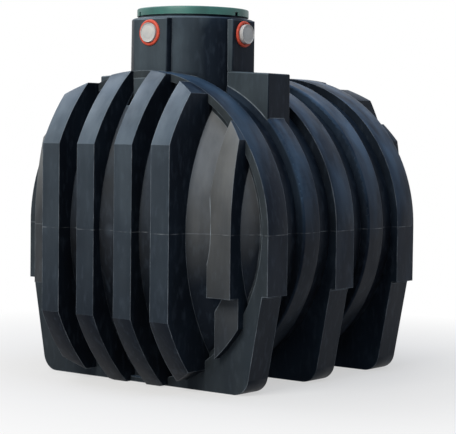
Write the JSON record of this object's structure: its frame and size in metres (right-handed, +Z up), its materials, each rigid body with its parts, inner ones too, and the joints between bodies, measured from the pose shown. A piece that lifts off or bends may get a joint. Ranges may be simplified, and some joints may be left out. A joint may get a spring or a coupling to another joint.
{
  "type": "underground water tank",
  "caption": "Ribbed underground water tank: horizontal hooped barrel with domed, ribbed ends, a neck with flat bosses and plugged pipe seals, and a round screw lid.",
  "frame": {"origin": "on the ground under the middle of the barrel", "axes": "+Z up, barrel along Y, the end nearer the neck towards -Y, +X to the side with a pipe seal"},
  "size_m": [2.1, 2.47, 2.524],
  "materials": {
    "tank_shell": "satin black moulded polyethylene",
    "lid": "satin green moulded polyethylene",
    "seal": "matt orange-red rubber",
    "plug": "satin grey pipe plastic"
  },
  "bodies": {
    "root": {"front_hoop": "tank_shell", "front_bay": "tank_shell", "front_band": "tank_shell", "middle_front_bay": "tank_shell", "middle_hoop": "tank_shell", "middle_rear_bay": "tank_shell", "rear_band": "tank_shell", "rear_bay": "tank_shell", "rear_hoop": "tank_shell", "front_dome": "tank_shell", "front_lifting_pocket": "tank_shell", "front_inner_rib_right": "tank_shell", "front_inner_rib_left": "tank_shell", "front_outer_rib_right": "tank_shell", "front_outer_rib_left": "tank_shell", "front_side_rib_right": "tank_shell", "front_side_rib_left": "tank_shell", "rear_dome": "tank_shell", "rear_lifting_pocket": "tank_shell", "rear_inner_rib_right": "tank_shell", "rear_inner_rib_left": "tank_shell", "rear_outer_rib_right": "tank_shell", "rear_outer_rib_left": "tank_shell", "rear_side_rib_right": "tank_shell", "rear_side_rib_left": "tank_shell", "neck": "tank_shell", "boss_front": "tank_shell", "boss_right": "tank_shell", "boss_back": "tank_shell", "boss_left": "tank_shell", "shoulder_right": "tank_shell", "shoulder_left": "tank_shell", "lid": "lid", "seal_front": "seal", "seal_right": "seal", "plug_front": "plug", "plug_right": "plug"}
  },
  "joints": []
}
